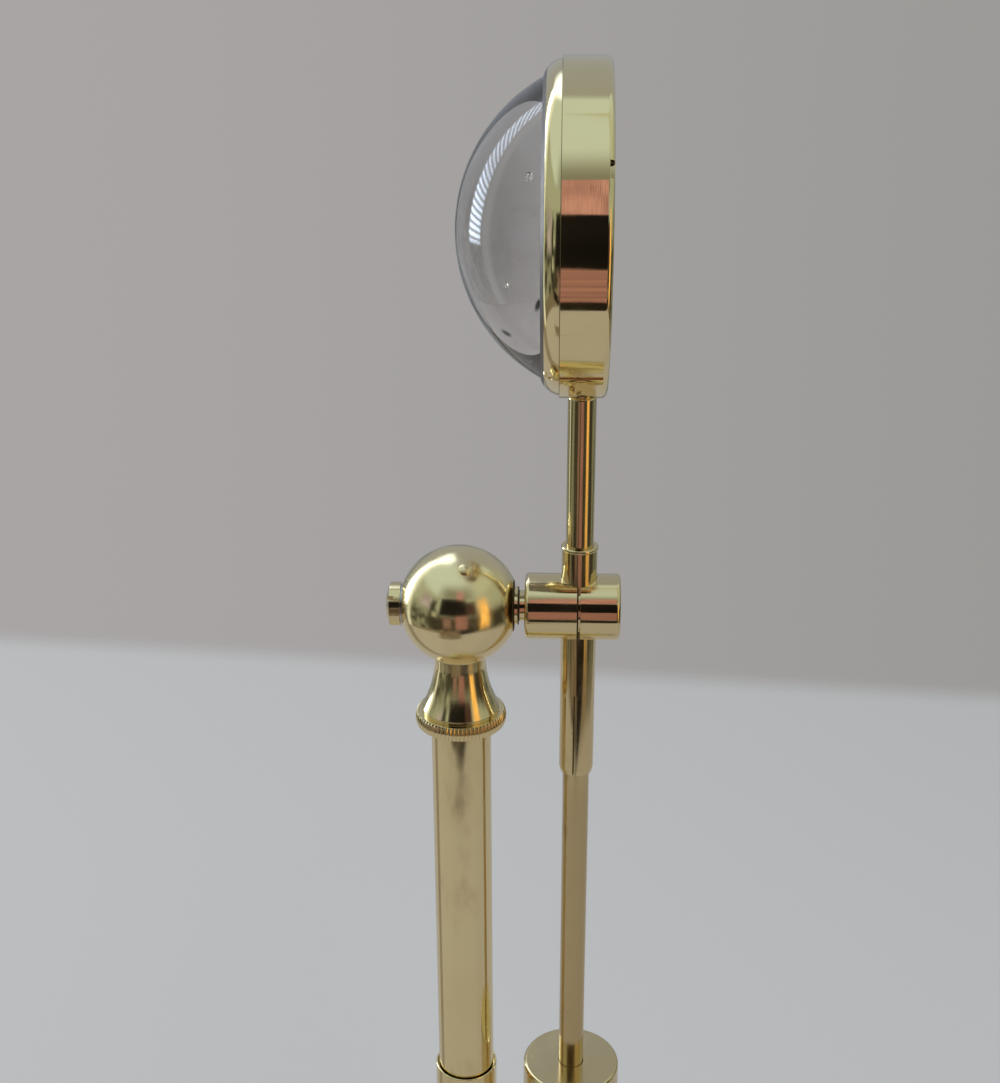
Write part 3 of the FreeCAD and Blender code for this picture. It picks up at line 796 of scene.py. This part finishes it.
tableLook = {
    "table": colour(0.462, 0.470, 0.476),
    "mirrored": colour(0.40, 0.385, 0.37),    # how polished brass sees it: darker, as painted shade on the table before the pillar
    "wallStart": 0.522,       # m behind the pillar where the table ends, and how that slants
    "wallSlant": 0.092,
    "wallSoft": 0.018,
    "reach": (0.9, 1.25),     # m from the pillar where it fades away
    "frontEdge": 0.445,       # m before the pillar where its mirrored edge lies
    "sideEdge": 0.50,
    "mirrorSoft": (0.92, 1.08),       # shares of that edge between which it fades
    "shadowStreak": (-111.0, 10.0),         # a painted shadow on the table that the tube shows: bearing, half width in degrees
}


def stageFloor():
    mesh = bpy.data.meshes.new("tableTop")
    reach = 1.8
    mesh.from_pydata([(-reach, -reach, 0), (reach, -reach, 0), (reach, reach, 0), (-reach, reach, 0)],
                     [], [(0, 1, 2, 3)])
    floor = bpy.data.objects.new("tableTop", mesh)
    bpy.context.scene.collection.objects.link(floor)
    material, graph, place = newMaterial("paleTable")
    x, y, z = graph.axes(place)
    soft = tableLook["wallSoft"]
    start = tableLook["wallStart"]
    past = (y + x * tableLook["wallSlant"]).step(start - soft, start + soft)
    low, high = tableLook["reach"]
    gone = past.most((x * x + y * y).step(low ** 2, high ** 2))
    glossy = graph.node("ShaderNodeLightPath", output="Is Glossy Ray")
    sideways = x.off(0.0) / tableLook["sideEdge"]
    ahead = (y * (-1 / tableLook["frontEdge"])).most(0.0)
    rim = (sideways * sideways + ahead * ahead).step(*tableLook["mirrorSoft"])
    gone = gone.most(rim * glossy)
    faint = graph.noise(place, 6.0, 3.0)
    tint = graph.blend(faint * 0.04, tableLook["table"], wallLook["left"])
    # a painted shadow on the table, seen only in reflections
    way, half = tableLook["shadowStreak"]
    shadowStreak = 1.0 - graph.bearing(x, y).off(way).step(half * 0.4, half * 1.3)
    # the table as polished brass sees it, darker with painted shade and the painted shadow
    mirrored = graph.blend(shadowStreak * 0.8, tableLook["mirrored"], wallLook["under"])
    tint = graph.blend(glossy, tint, mirrored)
    top = graph.node("ShaderNodeBsdfPrincipled", inputs={
        "Base Color": tint, "Roughness": 0.9, "Specular IOR Level": 0.1})
    clear = graph.node("ShaderNodeBsdfTransparent")
    surface(graph, graph.node("ShaderNodeMixShader", inputs={0: gone, 1: top, 2: clear}))
    mesh.materials.append(material)


wallLook = {
    "left": colour(0.396, 0.378, 0.375),
    "right": colour(0.328, 0.318, 0.307),
    "fill": colour(0.56, 0.57, 0.58),         # the light that dull surfaces get
    "ceiling": colour(0.60, 0.72, 0.74),
    "ceilingRight": colour(0.50, 0.53, 0.42),
    "ceilingDim": colour(0.22, 0.23, 0.19),
    "behind": colour(0.36, 0.39, 0.44),
    "beside": colour(0.40, 0.45, 0.38),
    "shade": colour(0.055, 0.060, 0.040),
    "clutter": colour(0.30, 0.32, 0.26),
    "shadeFront": colour(0.045, 0.037, 0.026),
    "under": colour(0.19, 0.165, 0.125),
}

windowLook = {
    # bearing, half width and softness, then height, half height and softness, in degrees
    "strip": ((-120.0, 7.5, 1.6), (22.0, 31.0, 2.0)),
    "head": ((-152.0, 16.0, 7.0), (53.0, 13.0, 7.0)),
    "curtain": ((-106.0, 4.5, 3.0), (10.0, 46.0, 9.0)),
    "lean": 0.010,                            # how the strip bends over, a degree for each square degree up
    "slats": 2.6,
    "headShare": 0.65,
    "curtainShare": 0.9,
    "glass": colour(3.6, 4.2, 5.0),
    "blind": colour(1.1, 1.3, 1.5),
    "lowGain": 1.1,                           # how much brighter it gets lower down
    "cloth": colour(0.95, 1.02, 0.98),
}


def studioWorld():
    # plain for the camera and for light; with a ceiling, walls and a window in polished surfaces
    world = bpy.data.worlds.new("studio")
    bpy.context.scene.world = world
    world.use_nodes = True
    world.node_tree.nodes.clear()
    graph = Graph(world.node_tree)
    outwards = graph.node("ShaderNodeTexCoord", output="Generated")
    x, y, z = graph.axes(outwards)
    bearing = graph.bearing(x, y)
    climb = z.maths("ARCSINE", z) * (180 / math.pi)
    drift = graph.noise(outwards, 3.2, 3.0, 0.6) - 0.5
    mottle = graph.noise(outwards, 8.5, 6.0, 0.66)
    climbSoft = climb + drift * 7.0

    def patch(place, middle, reach, soft):
        return 1.0 - place.off(middle).step(reach - soft, reach + soft)

    side = bearing.off(0.0)
    behind = side.step(118.0, 142.0)
    front = 1.0 - side.step(42.0, 70.0)
    walls = graph.blend(behind, wallLook["beside"], wallLook["behind"])
    low = 1.0 - climbSoft.step(-8.0, 16.0)
    shade = graph.blend(mottle.step(0.46, 0.58), wallLook["shade"], wallLook["clutter"])
    shade = graph.blend(front * 0.85, shade, wallLook["shadeFront"])
    walls = graph.blend(low * (1.0 - behind * 0.5), walls, shade)
    dim = (1.0 - climb.step(43.0, 66.0)) * (1.0 - side.step(20.0, 60.0))
    right = patch(bearing, 75.0, 40.0, 30.0)
    ceiling = graph.blend(right * 0.8, wallLook["ceiling"], wallLook["ceilingRight"])
    ceiling = graph.blend(dim * 0.95, ceiling, wallLook["ceilingDim"])
    brim = graph.node("ShaderNodeMapRange", {"interpolation_type": "SMOOTHSTEP"}, {
        "Value": side, "From Min": 120.0, "From Max": 150.0, "To Min": 34.0, "To Max": 75.0})
    mirrored = graph.blend((climbSoft - brim).step(-3.0, 3.0), walls, ceiling)
    mirrored = graph.blend(1.0 - climb.step(-29.0, -25.0), mirrored, wallLook["under"])
    lift = climb.most(0.0)
    leaning = bearing + lift * lift * windowLook["lean"]
    strip, curtain, head = (
        patch(way, *windowLook[part][0]) * patch(climb, *windowLook[part][1])
        for way, part in ((leaning, "strip"), (leaning, "curtain"), (bearing, "head")))
    slats = climb.maths("SINE", climb * windowLook["slats"]).step(-0.5, 0.3)
    pane = graph.blend(slats, windowLook["blind"], windowLook["glass"])
    brighter = (1.0 - climb.step(-5.0, 22.0)) * windowLook["lowGain"] + 1.0
    pane = graph.node("ShaderNodeVectorMath", {"operation": "SCALE"}, {0: pane, "Scale": brighter})
    mirrored = graph.blend(curtain * windowLook["curtainShare"], mirrored, windowLook["cloth"])
    mirrored = graph.blend(strip.most(head * windowLook["headShare"]), mirrored, pane)
    glossy = graph.node("ShaderNodeLightPath", output="Is Glossy Ray")
    seen = graph.node("ShaderNodeLightPath", output="Is Camera Ray")
    through = graph.node("ShaderNodeLightPath", output="Is Transmission Ray")
    plain = graph.blend(x.step(-0.45, 0.45), wallLook["left"], wallLook["right"])
    bounced = graph.node("ShaderNodeLightPath", output="Diffuse Depth").step(0.0, 1.0)
    light = graph.blend(glossy * (1.0 - bounced), wallLook["fill"], mirrored)
    backdrop = graph.blend(seen.most(through * (1.0 - bounced)), light, plain)
    glow = graph.node("ShaderNodeBackground", inputs={"Color": backdrop, "Strength": 1.0})
    graph.node("ShaderNodeOutputWorld", inputs={"Surface": glow})


cards = {
    # centre, width and height in m, glow, how ragged and how soft the edge is, as shares of half the size,
    # and how finely its folds run across and up, with how deep they are
    "darkFront": {"centre": (-0.040, -0.305, 0.389), "width": 0.30, "height": 0.190,
                  "glow": colour(0.008, 0.007, 0.006), "ragged": 0.10, "soft": 0.05, "folds": (9, 9, 0.5)},
    "darkRight": {"centre": (0.150, -0.300, 0.375), "width": 0.12, "height": 0.150,
                  "glow": colour(0.060, 0.028, 0.024), "ragged": 0.5, "soft": 0.3, "folds": (40, 9, 0.6)},
    "warmAbove": {"centre": (0.036, -0.310, 0.560), "width": 0.088, "height": 0.160,
                  "glow": colour(0.49, 0.265, 0.265), "ragged": 0.1, "soft": 0.05, "folds": (260, 8, 0.95)},
    "warmLeft": {"centre": (-0.098, -0.300, 0.215), "width": 0.080, "height": 0.110,
                 "glow": colour(0.26, 0.165, 0.145), "ragged": 0.5, "soft": 0.35, "folds": (40, 40, 0.6)},
    "warmRight": {"centre": (0.040, -0.302, 0.226), "width": 0.120, "height": 0.140,
                  "glow": colour(0.33, 0.17, 0.16), "ragged": 0.25, "soft": 0.07, "folds": (8, 60, 0.45)},
    "darkLine": {"centre": (0.0, -0.405, 0.045), "width": 0.80, "height": 0.078,
                 "glow": colour(0.018, 0.014, 0.010), "ragged": 0.15, "soft": 0.12, "folds": (8, 8, 0.2)},
    "brownNear": {"centre": (-0.026, -0.100, 0.2165), "width": 0.076, "height": 0.040,
                  "glow": colour(0.19, 0.155, 0.115), "ragged": 0.5, "soft": 0.25, "folds": (90, 90, 0.8)},
    "lineNear": {"centre": (-0.028, -0.100, 0.1935), "width": 0.082, "height": 0.0045,
                 "glow": colour(0.07, 0.055, 0.04), "ragged": 0.2, "soft": 0.4, "folds": (60, 9, 0.2)},
    "amberLamp": {"centre": (0.390, -0.310, 0.290), "width": 0.150, "height": 0.440,
                  "glow": colour(1.2, 0.69, 0.21), "ragged": 0.5, "soft": 0.35, "folds": (30, 9, 0.6)},
    "paleLeft": {"centre": (-0.33, -0.15, 0.400), "width": 0.14, "height": 0.13,
                 "glow": colour(0.42, 0.38, 0.46), "ragged": 0.5, "soft": 0.5, "folds": (9, 9, 0.4)},
    "darkLeft": {"centre": (-0.29, -0.27, 0.330), "width": 0.09, "height": 0.26,
                 "glow": colour(0.035, 0.04, 0.025), "ragged": 0.9, "soft": 0.4, "folds": (30, 9, 0.6)},
    "paleSpot": {"centre": (-0.235, -0.30, 0.385), "width": 0.055, "height": 0.055,
                 "glow": colour(0.40, 0.43, 0.36), "ragged": 0.6, "soft": 0.5, "folds": (30, 30, 0.4)},
    "paleSpotLow": {"centre": (-0.255, -0.27, 0.290), "width": 0.060, "height": 0.055,
                    "glow": colour(0.42, 0.44, 0.36), "ragged": 0.6, "soft": 0.5, "folds": (30, 30, 0.4)},
    "darkFarRight": {"centre": (0.44, -0.09, 0.180), "width": 0.22, "height": 0.220,
                     "glow": colour(0.045, 0.04, 0.028), "ragged": 0.8, "soft": 0.4, "folds": (30, 30, 0.6)},
}


def reflectionCard(name, centre, width, height, glow, ragged, soft, folds):
    # a plane that only shows in polished surfaces, with a soft and ragged edge
    mesh = bpy.data.meshes.new(name)
    margin = 1.0 + soft + 0.6 * ragged
    wide, tall = width / 2 * margin, height / 2 * margin
    mesh.from_pydata([(-wide, -tall, 0), (wide, -tall, 0), (wide, tall, 0), (-wide, tall, 0)], [],
                     [(0, 1, 2, 3)])
    card = bpy.data.objects.new(name, mesh)
    bpy.context.scene.collection.objects.link(card)
    card.location = centre
    towards = Vector((0, 0, centre[2])) - Vector(centre)
    card.rotation_euler = towards.to_track_quat("Z", "Y").to_euler()
    material, graph, place = newMaterial(name)
    x, y, z = graph.axes(place)
    wander = (graph.noise(place, 26.0, 4.0, 0.6) - 0.5) * (2 * ragged)
    sideways = x.off(0.0) * (2 / width) + wander
    edge = sideways.most(y.off(0.0) * (2 / height) + wander).step(1.0 - soft, 1.0 + soft)
    foldsAcross, foldsUp, depth = folds
    fold = graph.noise(graph.stretched(place, (foldsAcross, foldsUp, 1)), 1.0, 3.0).step(0.35, 0.65)
    lit = graph.node("ShaderNodeVectorMath", {"operation": "SCALE"}, {
        0: glow[:3], "Scale": fold * depth + (1.0 - depth / 2)})
    light = graph.node("ShaderNodeEmission", inputs={"Color": lit, "Strength": 1.0})
    clear = graph.node("ShaderNodeBsdfTransparent")
    surface(graph, graph.node("ShaderNodeMixShader", inputs={0: edge, 1: light, 2: clear}))
    mesh.materials.append(material)
    card.visible_camera = False
    card.visible_diffuse = False
    card.visible_transmission = False
    card.visible_shadow = False


lamps = {
    # place in m, size in m, power in W; they light but don't show in the metal
    "keyLamp": (Vector((-0.9, 0.25, 1.5)), 1.0, 14.0),
    "fillLamp": (Vector((0.8, -0.9, 1.2)), 1.2, 7.0),
}
lampTarget = Vector((0, 0, 0.15))


def areaLamp(name, place, size, power):
    lamp = bpy.data.lights.new(name, "AREA")
    lamp.shape = "DISK"
    lamp.size = size
    lamp.energy = power
    holder = bpy.data.objects.new(name, lamp)
    bpy.context.scene.collection.objects.link(holder)
    holder.location = place
    holder.rotation_euler = (place - lampTarget).to_track_quat("Z", "Y").to_euler()
    holder.visible_glossy = False
    holder.visible_camera = False


stageFloor()
studioWorld()
for name, look in cards.items():
    reflectionCard(name, **look)
for name, (place, size, power) in lamps.items():
    areaLamp(name, place, size, power)
print("stage set")


# Camera, from the photograph's perspective

viewpoint = {
    "fromBall": Vector((23.67, -312.30, 142.50)) * mm,
    "focalPixels": 1479.3,
    "photoHeight": 1083.0,
    "yaw": math.radians(2.594),
    "pitch": math.radians(22.041),
    "roll": math.radians(-0.248),
}


def placeCamera():
    yaw, pitch, roll = viewpoint["yaw"], viewpoint["pitch"], viewpoint["roll"]
    ahead = Vector((-math.sin(yaw) * math.cos(pitch), math.cos(yaw) * math.cos(pitch), -math.sin(pitch)))
    level = Vector((math.cos(yaw), math.sin(yaw), 0))
    upward = level.cross(ahead)
    right = level * math.cos(roll) + upward * math.sin(roll)
    top = upward * math.cos(roll) - level * math.sin(roll)
    data = bpy.data.cameras.new("camera")
    data.sensor_width = 36.0
    data.lens = data.sensor_width * viewpoint["focalPixels"] / viewpoint["photoHeight"]
    data.clip_start = 0.01
    camera = bpy.data.objects.new("camera", data)
    bpy.context.scene.collection.objects.link(camera)
    turn = Matrix((right, top, -ahead)).transposed().to_4x4()
    camera.matrix_world = Matrix.Translation(ballCentre + viewpoint["fromBall"]) @ turn
    bpy.context.scene.camera = camera


placeCamera()
bpy.context.scene.view_settings.view_transform = "Standard"
print("camera placed")
